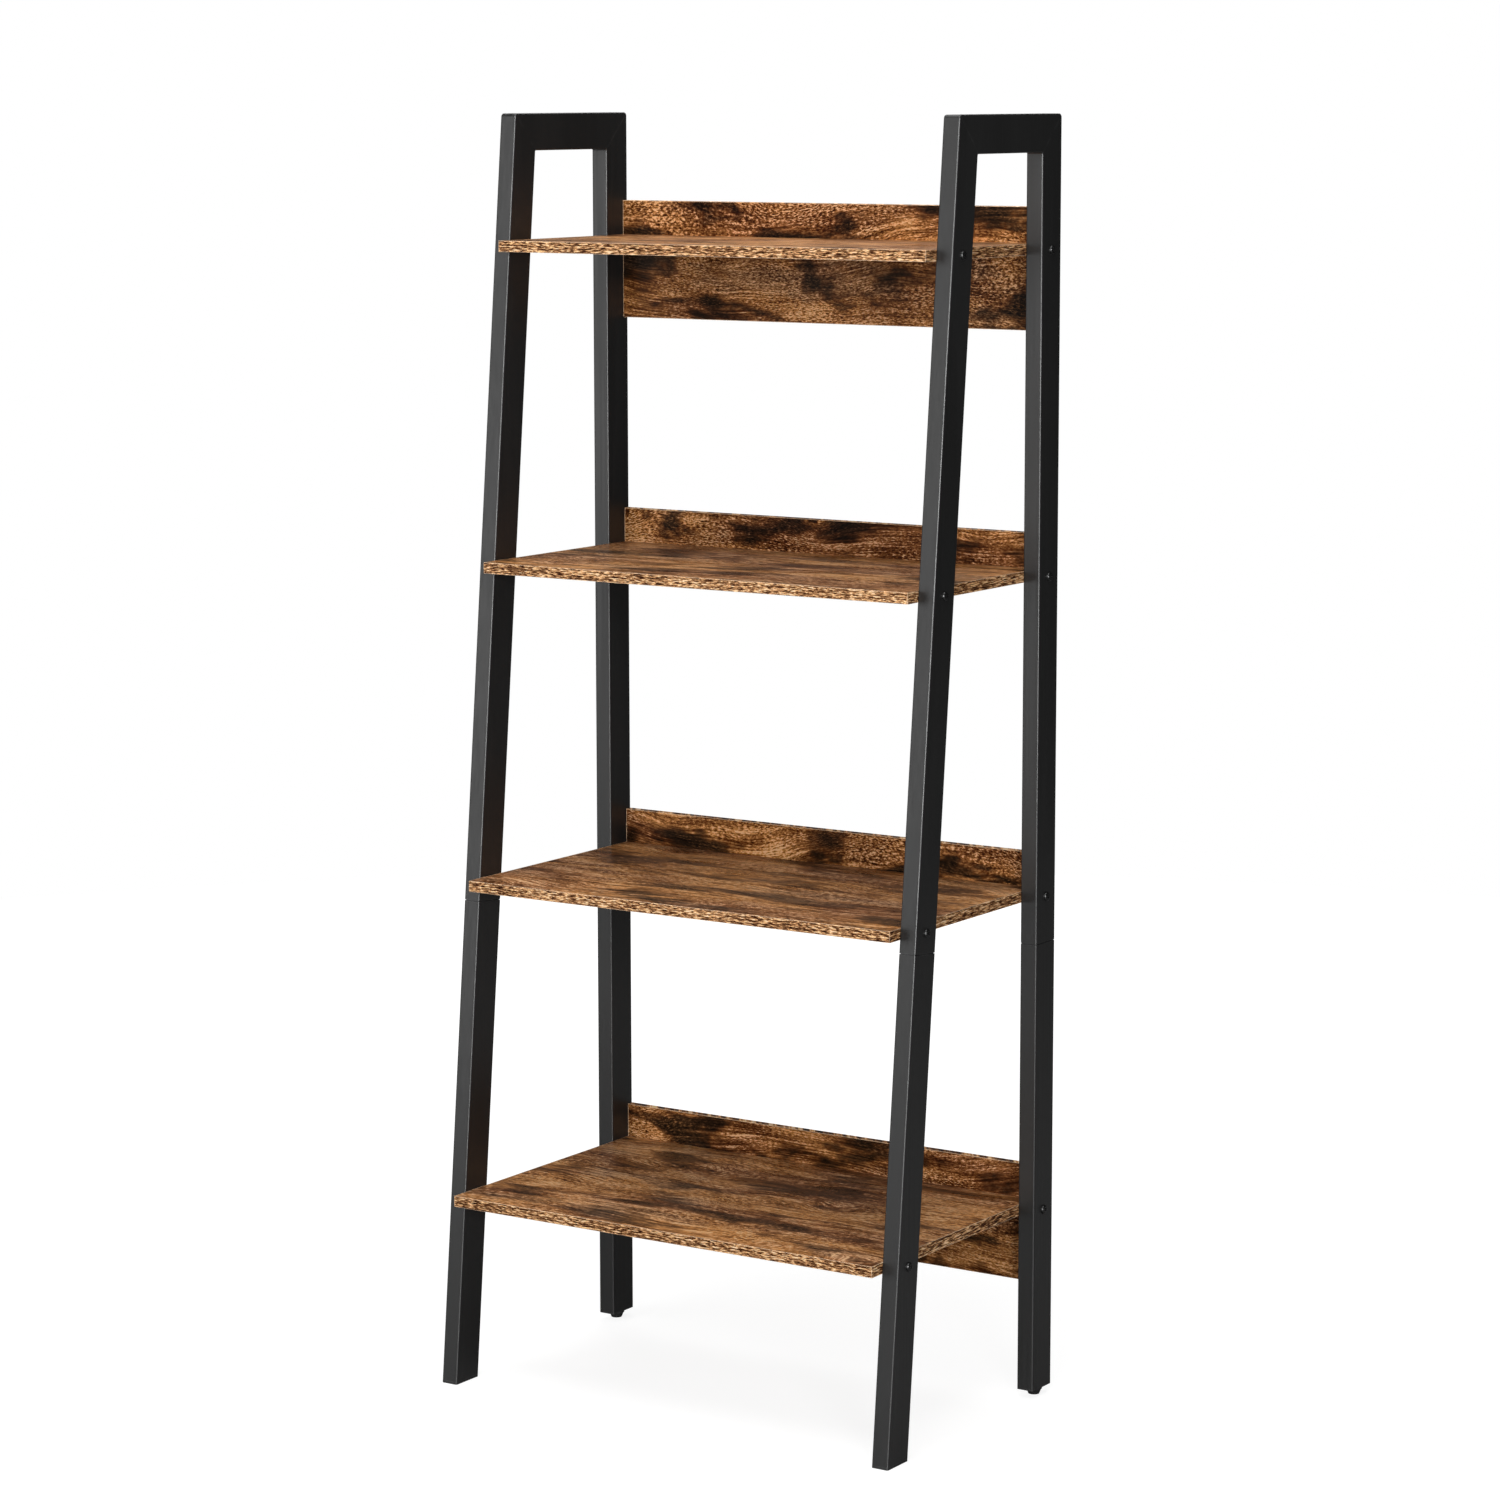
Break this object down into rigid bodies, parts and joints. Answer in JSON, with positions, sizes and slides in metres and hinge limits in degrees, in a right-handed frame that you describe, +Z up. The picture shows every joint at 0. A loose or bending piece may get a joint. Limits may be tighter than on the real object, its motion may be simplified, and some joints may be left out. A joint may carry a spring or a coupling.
{
  "type": "ladder shelf",
  "caption": "Leaning-front ladder shelf: black steel tube side frames carry wooden boards that get deeper towards the floor, each with a low back panel.",
  "frame": {"origin": "on the floor, at the centre of the bounding box", "axes": "+X to the right of someone who faces the shelf, +Y to the back, +Z up"},
  "size_m": [0.5806, 0.34, 1.38],
  "materials": {
    "black_powder_coat": "satin black powder coat with a faint texture",
    "rustic_laminate": "satin printed wood laminate on particle board, rustic brown",
    "edge_band": "matt printed edge band, paler than the faces",
    "black_plastic": "moulded black plastic",
    "black_steel": "black oxide steel",
    "zinc_steel": "bright zinc plating"
  },
  "bodies": {
    "frame": {"left_top_rail": "black_powder_coat", "left_upper_front_leg": "black_powder_coat", "left_lower_front_leg": "black_powder_coat", "left_upper_rear_leg": "black_powder_coat", "left_lower_rear_leg": "black_powder_coat", "left_front_sleeve": "zinc_steel", "left_rear_sleeve": "zinc_steel", "left_front_foot_cap": "black_plastic", "left_rear_leg_plug": "black_plastic", "left_foot_nut": "zinc_steel", "left_frame_bolts": "black_steel", "left_threaded_inserts": "zinc_steel", "right_top_rail": "black_powder_coat", "right_upper_front_leg": "black_powder_coat", "right_lower_front_leg": "black_powder_coat", "right_upper_rear_leg": "black_powder_coat", "right_lower_rear_leg": "black_powder_coat", "right_front_sleeve": "zinc_steel", "right_rear_sleeve": "zinc_steel", "right_front_foot_cap": "black_plastic", "right_rear_leg_plug": "black_plastic", "right_foot_nut": "zinc_steel", "right_frame_bolts": "black_steel", "right_threaded_inserts": "zinc_steel", "shelf_1": "rustic_laminate", "shelf_1_edge_band": "edge_band", "back_panel_1": "rustic_laminate", "back_panel_1_edge_band": "edge_band", "shelf_2": "rustic_laminate", "shelf_2_edge_band": "edge_band", "back_panel_2": "rustic_laminate", "back_panel_2_edge_band": "edge_band", "shelf_3": "rustic_laminate", "shelf_3_edge_band": "edge_band", "back_panel_3": "rustic_laminate", "back_panel_3_edge_band": "edge_band", "shelf_4": "rustic_laminate", "shelf_4_edge_band": "edge_band", "back_panel_4": "rustic_laminate", "back_panel_4_edge_band": "edge_band", "back_panel_screws": "zinc_steel"},
    "left_foot_pad": {"left_foot_pad": "black_plastic"},
    "left_foot_stud": {"left_foot_stud": "zinc_steel"},
    "right_foot_pad": {"right_foot_pad": "black_plastic"},
    "right_foot_stud": {"right_foot_stud": "zinc_steel"}
  },
  "joints": [
    {"name": "left_foot_travel", "type": "slide", "parent": "frame", "child": "left_foot_pad", "axis": [0, 0, -1], "range_m": [-0.0007, 0.01]},
    {"name": "left_foot_turn", "type": "hinge", "parent": "left_foot_pad", "child": "left_foot_stud", "pos_m": [-0.2775, 0.15, 0.02], "axis": [0, 0, -1], "range_deg": [-260, 3610]},
    {"name": "right_foot_travel", "type": "slide", "parent": "frame", "child": "right_foot_pad", "axis": [0, 0, -1], "range_m": [-0.0007, 0.01]},
    {"name": "right_foot_turn", "type": "hinge", "parent": "right_foot_pad", "child": "right_foot_stud", "pos_m": [0.2775, 0.15, 0.02], "axis": [0, 0, -1], "range_deg": [-260, 3610]}
  ],
  "couplings": [
    {"joint": "left_foot_turn", "follows": "left_foot_travel", "rad_per_m": 6283.2},
    {"joint": "right_foot_turn", "follows": "right_foot_travel", "rad_per_m": 6283.2}
  ]
}
